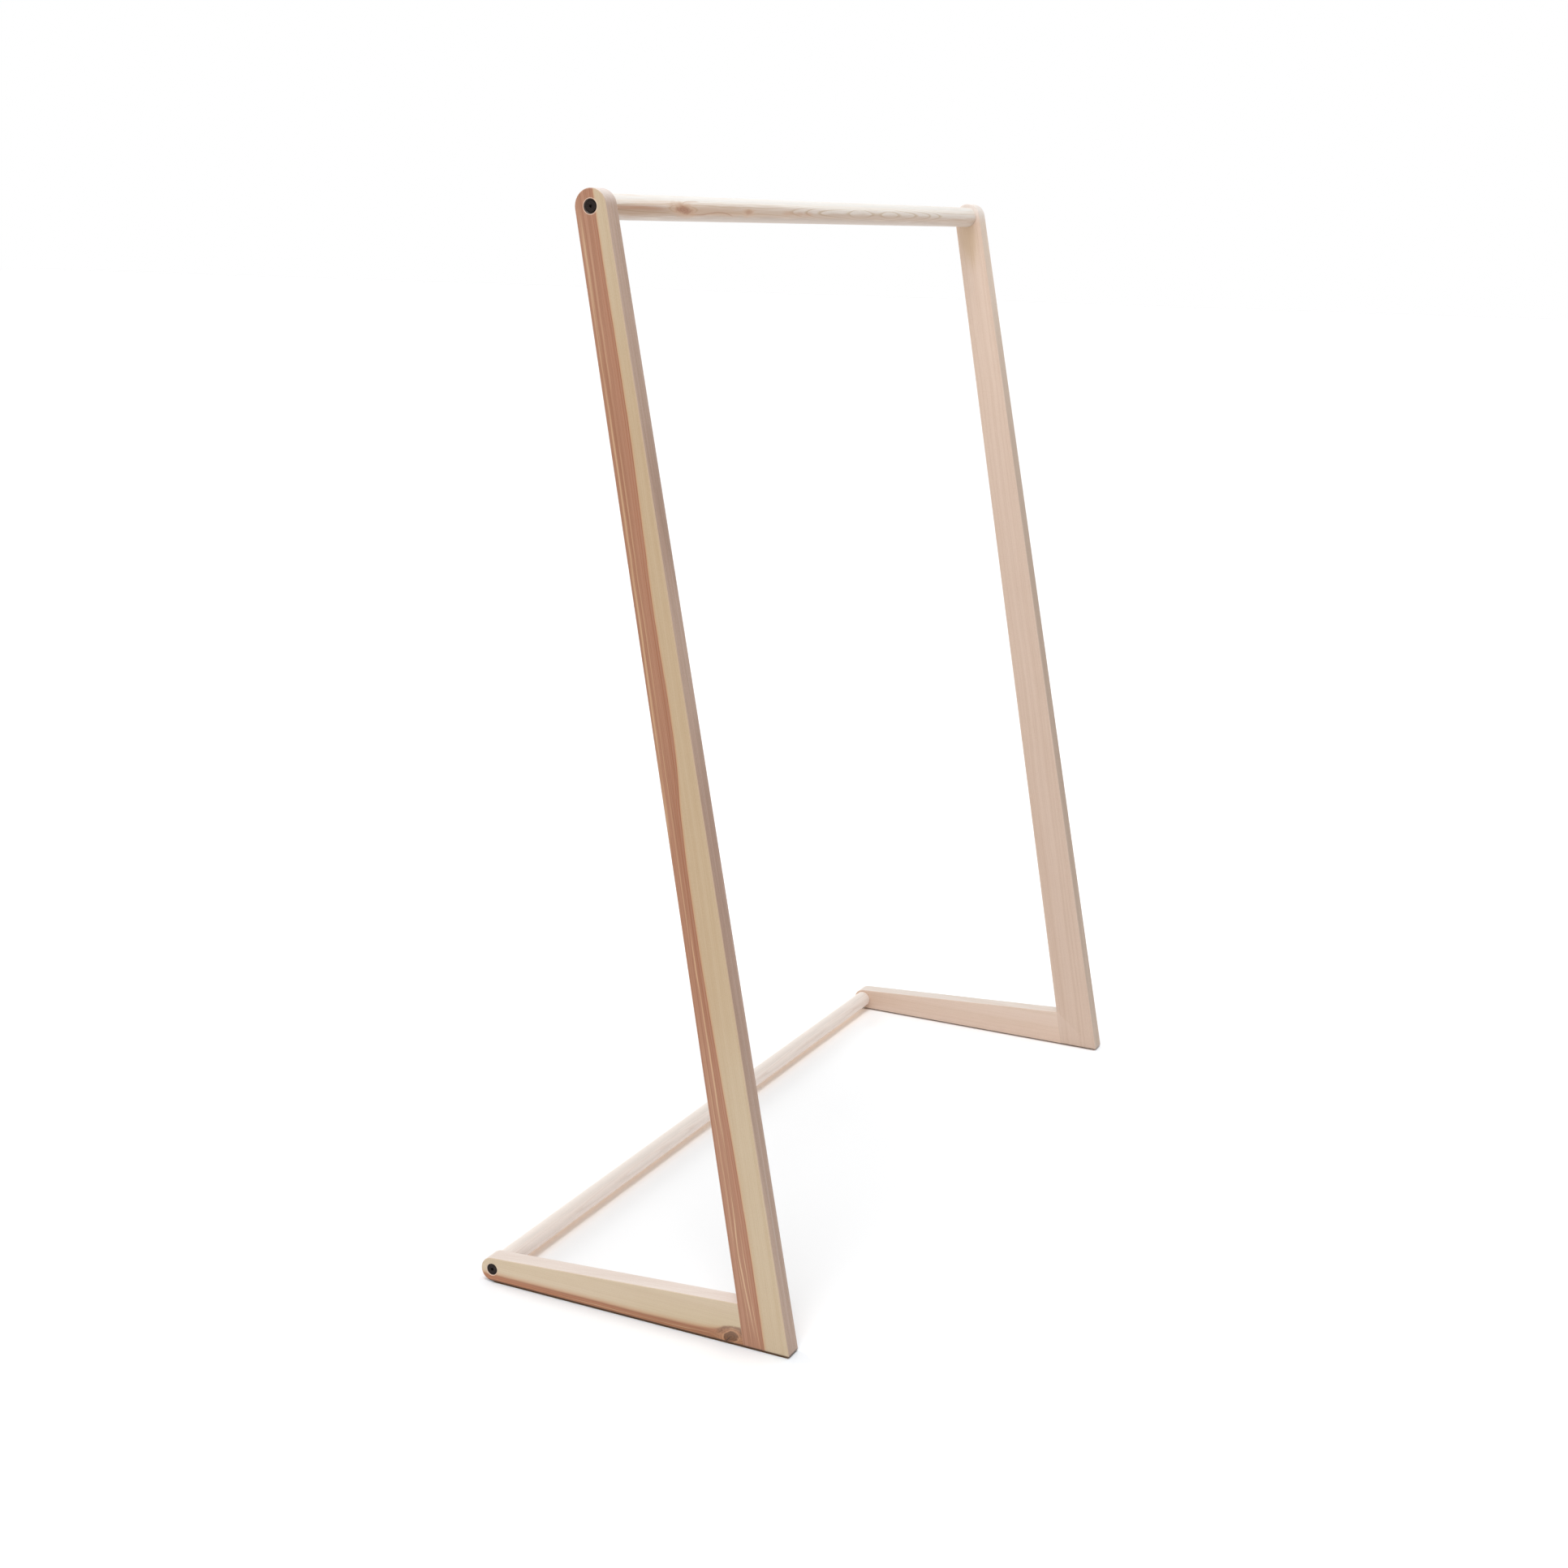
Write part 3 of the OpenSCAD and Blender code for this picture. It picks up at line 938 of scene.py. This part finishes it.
leftLegGrain = {
    "length": legLength, "pith": (-70, 35), "wander": 10, "wave": 3, "ringGap": 2.6, "jitter": 2,
    "lateFrom": 0.45, "shares": (0.45, 0.25, 0.85, 0.3),
    "pale": paint(182, 148, 129), "dark": paint(151, 119, 98), "eased": paint(210, 180, 161),
    "edgeToneAndLight": [(0, 0.9), (250, 0.65), (500, 0.1), (650, 0), (800, 0.35), (950, 0.7),
        (1100, 0.15), (1250, 0.6), (1420, 0.75), (1500, 1)],
    "edgeColours": (paint(193, 165, 147), paint(165, 136, 116)),
    "crownHighlight": (1489, 1517), "crownHighlightKept": 1, "bore": {"at": (1494.4, 22.4), "dark": 9.4}, "grime": 0.9,
    "skin": {"depths": (1.6, 0.6), "edgeLines": 0.55, "glints": 0.4,
             "pale": paint(207, 187, 158), "dark": paint(194, 168, 134)},
    "toneAndShade": [(0, 0), (300, 0.1), (520, 0.95), (900, 1), (1150, 1), (1400, 0.4), (1500, 0.2)],
    "toneAndShadeColour": (0.93, 0.87, 0.80, 1),
    "heart": {
        "pale": rose, "dark": roseDark, "streak": straw, "line": rust,
        "glow": 3.5, "blur": 0.5, "glowColour": paint(204, 160, 122),
        "edge": [(0, 31.1), (101, 31.2), (260, 28.6), (402, 24.4), (608, 21.1), (714, 23.5),
            (820, 29.6), (993, 27.7), (1103, 29.6), (1214, 31.2), (1441, 29), (1500, 29)],
        # points along and across, then from, to, width and strength
        "streaks": [
            ([(0, 0), (650, 0), (720, 2.5), (800, 4), (950, 5), (1200, 6), (1500, 6)],
             690, 1480, 1.7, 0.9),
            ([(0, 8), (600, 9), (800, 11), (1000, 12), (1200, 13), (1500, 14)],
             560, 1440, 0.8, 0.55),
            ([(0, 20), (40, 18), (90, 15), (135, 13), (180, 15), (300, 15),
                (600, 12), (1500, 12)],
             30, 560, 1, 1),
            ([(0, 13), (60, 12), (150, 9), (300, 8), (500, 5), (1500, 5)],
             20, 420, 0.7, 0.6),
            ([(0, 25), (60, 22), (200, 20), (1500, 20)],
             0, 150, 0.6, 0.8),
        ],
        # distance inside the heart's edge, width and strength
        "lines": [(0.6, 0.5, 0.7), (4.3, 0.45, 0.6), (7.4, 0.5, 0.3)],
    },
}

rightLegGrain = {
    "length": legLength, "pith": (-90, 60), "wander": 12, "wave": 3, "ringGap": 3, "jitter": 2,
    "lateFrom": 0.45, "shares": (0.6, 0.3, 0.85, 0.3),
    "pale": paint(195, 172, 153), "dark": paint(174, 147, 125), "eased": paint(222, 200, 186),
    # painted light: the narrow edges are painted paler towards the top, where the overhead light falls
    "edgeToneAndLight": [(0, 0.3), (200, 0.1), (400, 0), (800, 0), (1000, 0.2), (1200, 0.5),
        (1300, 0.75), (1400, 1), (1500, 1)],
    "edgeColours": (paint(231, 211, 193), paint(212, 190, 170)),
    # painted shadow: the rail's shadow on the inner face, just under it
    "stainsAndPaintedLight": [(1458, 20, 50, 16, 0.6, paint(204, 174, 138))],
    "crownHighlight": (1478, 1506), "crownHighlightKept": 0, "bore": {"at": (1494.4, 22.4), "dark": 9.4}, "grime": 0.2,
    "skin": {"depths": (26.4, 27.4), "edgeLines": 0.45,
             "pale": paint(226, 202, 184), "dark": paint(212, 184, 163)},
    # painted shade: the inner face is painted darker low down, where less of the overhead light reaches
    "toneAndShade": [(0, 1), (250, 1), (650, 0.8), (1000, 0.55), (1300, 0.1), (1500, 0)],
    "toneAndShadeColour": (0.86, 0.84, 0.83, 1),
    "easedHighlightShare": 0.3,
}

leftFootGrain = {
    "length": footLength, "pith": (-60, 40), "wander": 6, "wave": 2, "ringGap": 2.8, "jitter": 2,
    "lateFrom": 0.45, "shares": (0.45, 0.25, 0.85, 0.3),
    "pale": paint(230, 218, 209), "dark": paint(213, 196, 184), "eased": paint(222, 203, 190),
    "bore": {"at": (463, 16.98), "dark": 8}, "grime": 0.9,
    "skin": {"depths": (1.6, 0.6), "edgeLines": 0.5,
             "pale": paint(216, 197, 170), "dark": paint(204, 181, 149)},
    "toneAndShade": [(0, 1), (150, 0.8), (330, 0.2), (480, 0)], "toneAndShadeColour": (0.90, 0.885, 0.78, 1),
    "heart": {
        "pale": paint(188, 132, 98), "dark": paint(160, 108, 77), "streak": straw, "line": rust,
        "glow": 6.5, "blur": 2, "glowColour": paint(200, 152, 114), "footing": 3.5,
        "edge": [(0, 22), (94, 17), (124, 13.5), (198, 11), (324, 11), (402, 10.5),
            (480, 10)],
        "streaks": [
            ([(0, 6), (120, 8), (160, 5.5), (300, 4.5), (480, 4.5)],
             110, 330, 0.7, 0.7),
        ],
        "lines": [(2.5, 1, 0.4), (4.6, 0.4, 0.5), (6.6, 0.5, 0.6)],
    },
    "knots": [{
        "spot": ((86, 9), (9.8, 7.4), 0.3), "push": 9, "lift": 5,
        "swirl": 0.25, "rim": 0.45, "lobes": 1.1, "soft": 0.16, "crack": 0.95,
        "halo": 0.6, "haloColour": paint(176, 124, 92), "rimColour": paint(214, 166, 130),
        "collar": paint(128, 84, 54), "core": paint(132, 86, 50), "coreDark": paint(98, 60, 32),
    }],
}

rightFootGrain = {
    "length": footLength, "pith": (-80, 50), "wander": 8, "wave": 3, "ringGap": 3, "jitter": 2,
    "lateFrom": 0.45, "shares": (0.6, 0.3, 0.85, 0.3),
    "pale": paint(225, 215, 207), "dark": paint(214, 198, 184), "eased": paint(226, 210, 198),
    "bore": {"at": (463, 16.98), "dark": 8}, "grime": 0,
    "skin": {"depths": (26.4, 27.4), "edgeLines": 0.4,
             "pale": paint(220, 194, 176), "dark": paint(208, 178, 154)},
}


# grain runs up the leg from the toe's back corner, and back along the foot from the toe
boards = (
    ("leg", legOutline(boardShape), topLine, legLean, toeBack),
    ("foot", footOutline(boardShape), bottomLine, math.pi / 2, toeFront),
)
grains = {
    "leftLeg": leftLegGrain, "leftFoot": leftFootGrain,
    "rightLeg": rightLegGrain, "rightFoot": rightFootGrain,
}
for side, outerX, inward in (("left", legLow.x, 1), ("right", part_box("right_leg")[1].x, -1)):
    dowelBores = [dowelBore(side + "_upper_dowel"), dowelBore(side + "_lower_dowel")]
    for kind, outline, line, lean, start in boards:
        name = side + kind.title()
        origin = (outerX, start.x, start.y)
        wood = woodMaterial(name + "Wood", (lean, 0), origin, grains[name], inward)
        blank = boardObject("blank", outline, outerX, inward, boardShape, wood)
        bore = boltBore(outerX, inward, line)
        finish(drilled(name, blank, [bore, *dowelBores]), kind + "_wood", side + "_" + kind)
        bpy.data.objects.remove(bore)
    for spare in dowelBores:
        bpy.data.objects.remove(spare)
print("side boards are cut and drilled")


railShape = {"chamfer": 0.6, "hold": 2, "insertSpace": 0.1, "sides": 96}  # mm

topRailGrain = {
    "length": 1300, "pith": (2.2, -120), "wander": 2, "wave": 0.6, "ringGap": 1.3, "ringStart": 0.88,
    "jitter": 0, "lateFrom": 0.66,
    "shares": (0.1, 0.55, 0.25, 0.15),
    # the back's tint is painted shade, against the strong light from above
    "ringTint": (0.86, 0.79, 0.68, 1), "backShade": (0.84, 0.83, 0.81, 1), "backShadeDepths": (4, -1),
    "pale": paint(231, 220, 210), "dark": paint(205, 184, 162), "eased": paint(230, 218, 205),
    # how far the rings swell towards the front, 10 for not at all
    "bends": [(0, 5.7), (60, 6.4), (210, 7), (390, 6.4), (510, 7), (585, 8.7), (639, 10),
        (737, 11.3), (784, 12.3), (831, 11.3), (847, 11.15), (863, 11.3), (896, 11.9),
        (935, 11.3), (1001, 10), (1062, 8.7), (1109, 7.4), (1150, 6.9), (1300, 7.2)],
    "stainsAndPaintedLight": [
        # painted highlight: a paler, greyer upper side, where the overhead light falls
        (650, 12, 900, 6.5, 0.9, paint(238, 236, 233)),
        (650, 8, 900, 3, 0.6, paint(249, 241, 231)),
        # painted shade: a darker lower front and underside
        (650, -6, 900, 6, 0.7, paint(194, 165, 141)),
        (650, -14, 900, 6, 0.75, paint(191, 175, 164)),
        # the wood's own stains
        (95, -4.5, 110, 7, 0.9, paint(184, 152, 126)),
        (88, 0, 90, 3, 0.75, paint(182, 136, 106)),
        (160, 6, 110, 3.5, 0.4, paint(222, 190, 166)),
        (300, -2, 120, 6.5, 0.7, paint(204, 170, 142)),
        (400, 3.5, 220, 5, 0.45, paint(199, 171, 148)),
        (470, -3, 120, 5, 0.4, paint(212, 184, 160)),
        (528, -2.5, 20, 3.5, 0.6, paint(204, 168, 140)),
        (564, -3.5, 14, 3, 0.6, paint(200, 164, 138)),
        (596, -3, 15, 3, 0.6, paint(204, 168, 142)),
    ],
    # points along and across, then width, strength and colour
    "lines": [
        ([(222, -7), (256, -7.6), (290, -5), (314, -3.6), (332, -4.7), (358, -9)],
         0.65, 0.85, paint(176, 132, 104)),
        ([(206, 1), (212, 7), (222, 9), (236, 9.6), (262, 9.6)],
         0.6, 0.6, paint(198, 158, 130)),
    ],
    "knots": [
        {"spot": ((213, -1.8), (18, 5), 0.4), "push": 2.2, "lobes": 1.2, "soft": 0.4,
         "halo": 0.8, "haloColour": paint(200, 162, 132),
         "core": paint(184, 138, 108), "coreDark": paint(162, 114, 86)},
        {"spot": ((401, -2.3), (9, 3.4)), "push": 1.3, "lobes": 1, "soft": 0.7,
         "halo": 0.7, "haloColour": paint(208, 176, 148),
         "core": paint(198, 158, 130), "coreDark": paint(184, 142, 114)},
    ],
}

bottomRailGrain = {
    "length": 1300, "pith": (-30, -90), "wander": 6, "wave": 1, "ringGap": 1.5, "jitter": 1,
    "lateFrom": 0.5, "shares": (0.3, 0.5, 0.4, 0.2),
    "pale": paint(247, 235, 226), "dark": paint(232, 213, 201), "eased": paint(238, 227, 214),
    "stainsAndPaintedLight": [
        # painted shade: a greyer top, against the strong overhead light
        (650, 15, 900, 6, 0.6, paint(222, 214, 206)),
        # painted light: a paler lower front and underside, lit by the floor
        (650, -6, 900, 5, 0.7, paint(251, 235, 228)),
        (650, -13, 900, 9, 0.6, paint(252, 240, 231)),
    ],
    "bends": [(0, 9), (250, 10.5), (420, 12), (560, 10.5), (800, 9), (1000, 10),
        (1300, 8)],
}


def railObject(name, node, grain, shape):
    low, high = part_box(node)
    line = (low + high) / 2
    radius, reach = (high.z - low.z) / 2 / mm, (high.x - low.x) / mm / 2
    insert = sizeOf(node.replace("rail", "left_insert"))
    bore = insert.y / 2 + shape["insertSpace"] / 2
    deep = reach - insert.x
    chamfer, hold = shape["chamfer"], shape["hold"]
    half = [
        (0, deep), (bore, deep), (bore, reach), (radius - chamfer, reach), (radius, reach - chamfer),
        (radius, reach - chamfer - hold),
    ]
    profile = [(r, -h) for r, h in half] + [(r, h) for r, h in reversed(half)]
    start = (-grain["length"] / 2 * mm, line.y, line.z)
    wood = woodMaterial(name + "Wood", (math.pi / 2, -math.pi / 2), start, grain)
    rail = turned(name, profile, [(tuple(line), (1, 0, 0))], wood, shape["sides"])
    finish(rail, "rail_wood", node)


railObject("topRail", "top_rail", topRailGrain, railShape)
railObject("bottomRail", "bottom_rail", bottomRailGrain, railShape)
print("rails are turned")


def smallFinish(name, look):
    # a speckled or streaky finish, whose colour, roughness and relief share one noise
    material, nodes, shader = newMaterial(name, look["shader"])
    place = nodes.add("ShaderNodeTexCoord").other("Object")
    if "stretch" in look:
        values = {0: place, 1: look["stretch"]}
        place = nodes.add("ShaderNodeVectorMath", values, {"operation": "MULTIPLY"})
    marks = nodes.noise(place, *look["noise"])
    tone = marks
    if "patches" in look:
        tone = marks * 0.6 + nodes.noise(place, *look["patches"]) * 0.4
    if "contrast" in look:
        tone = nodes.rise(marks, *look["contrast"])
    base, share = look["roughness"]
    feed(nodes, shader, Base_Color=nodes.mix(tone, *look["colours"]), Roughness=marks * share + base)
    if "relief" in look:
        strength, depth = look["relief"]
        values = {"Strength": strength, "Distance": depth, "Height": marks}
        feed(nodes, shader, Normal=nodes.add("ShaderNodeBump", values))
    return material


boltShape = {
    "headRadius": 7.5, "headHeight": 2.5, "recess": 0.8, "edge": 0.3,
    "socketAcross": 4, "socketDepth": 3.5, "socketTip": 0.8, "socketLip": 0.35,
    "shankRadius": 3, "length": 50, "tip": (0.8, 1), "sides": 96,
}

boltSteel = {
    "shader": {"Specular IOR Level": 0.12},
    "noise": (900, 3, 0.6), "contrast": (0.3, 0.75),
    "colours": (paint(30, 24, 22), paint(52, 43, 39)),
    "roughness": (0.32, 0.2), "relief": (0.2, 0.0001),
}


def makeBolts(shape):
    head, edge, flat = shape["headRadius"], shape["edge"], shape["socketAcross"] / 2
    height, bottom, lip = shape["headHeight"], shape["socketDepth"], shape["socketLip"]
    shank, length = shape["shankRadius"], shape["length"]
    narrower, shorter = shape["tip"]
    profile = [
        (0, bottom + shape["socketTip"]), (flat * 0.92, bottom, 1), (flat, bottom - edge, 1),
        (flat, lip, 1), (flat * 1.3, 0, 0), (head - edge * 1.6, 0), (head - edge, 0.0),
        (head - edge * 0.3, edge * 0.3), (head, edge), (head, edge * 1.6), (head, height),
        (shank, height), (shank, length - shorter), (shank - narrower, length), (0, length),
    ]
    places = []
    for line in (topLine, bottomLine):
        for outerX, inward in ((legLow.x, 1), (-legLow.x, -1)):
            headX = outerX + inward * shape["recess"] * mm
            places.append(((headX, line.y, line.z), (inward, 0, 0)))
    steel = smallFinish("boltSteel", boltSteel)
    bolts = turned("connectorBolts", profile, places, steel, shape["sides"])
    nodes = ["top_left_bolt", "top_right_bolt", "bottom_left_bolt", "bottom_right_bolt"]
    finish(bolts, "bolt_steel", *nodes)


padShape = {
    "topEdge": (0.5, 0.1), "footEdge": (0.6, 0.15),  # mm in from the side, at the face and above it
    "lip": 0.3, "sides": 64,
}

padFelt = {
    "shader": {"Specular IOR Level": 0.2, "Sheen Weight": 0.3},
    "noise": (2200, 4, 0.7), "patches": (240, 2),
    "colours": (paint(74, 60, 52), paint(120, 102, 90)),
    "roughness": (0.88, 0.1), "relief": (0.7, 0.0003),
}


def makePads(shape):
    nodes = ["left_front_pad", "left_back_pad", "right_front_pad", "right_back_pad"]
    size = sizeOf(nodes[0])
    radius, height, lip = size.x / 2, size.z, shape["lip"]
    topIn, topSide = shape["topEdge"]
    footIn, footSide = shape["footEdge"]
    profile = [
        (0, height), (radius - topIn, height), (radius - topSide, height - lip),
        (radius, height / 2), (radius - footSide, lip), (radius - footIn, 0), (0, 0),
    ]
    places = [((middleOf(node).x, middleOf(node).y, 0), (0, 0, 1)) for node in nodes]
    felt = smallFinish("padFelt", padFelt)
    pads = turned("floorPads", profile, places, felt, shape["sides"])
    finish(pads, "pad_felt", *nodes)


insertBrass = {
    "shader": {"Metallic": 1}, "noise": (1400, 2),
    "colours": (paint(214, 178, 102), paint(180, 142, 74)), "roughness": (0.25, 0.2),
}

dowelBeech = {
    "shader": {"Specular IOR Level": 0.3}, "stretch": (900, 40, 900), "noise": (1, 3),
    "colours": (paint(214, 184, 146), paint(188, 150, 110)), "roughness": (0.55, 0.15),
}


makeBolts(boltShape)
makePads(padShape)

# the inserts and dowels keep the CAD's own meshes
brass, beech = smallFinish("insertBrass", insertBrass), smallFinish("dowelBeech", dowelBeech)
for node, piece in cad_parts.items():
    for ending, material in (("insert", brass), ("dowel", beech)):
        if node.endswith(ending):
            piece.data.materials.clear()
            piece.data.materials.append(material)
print("bolts, inserts, dowels and pads are finished")

scene.view_settings.view_transform = "Standard"
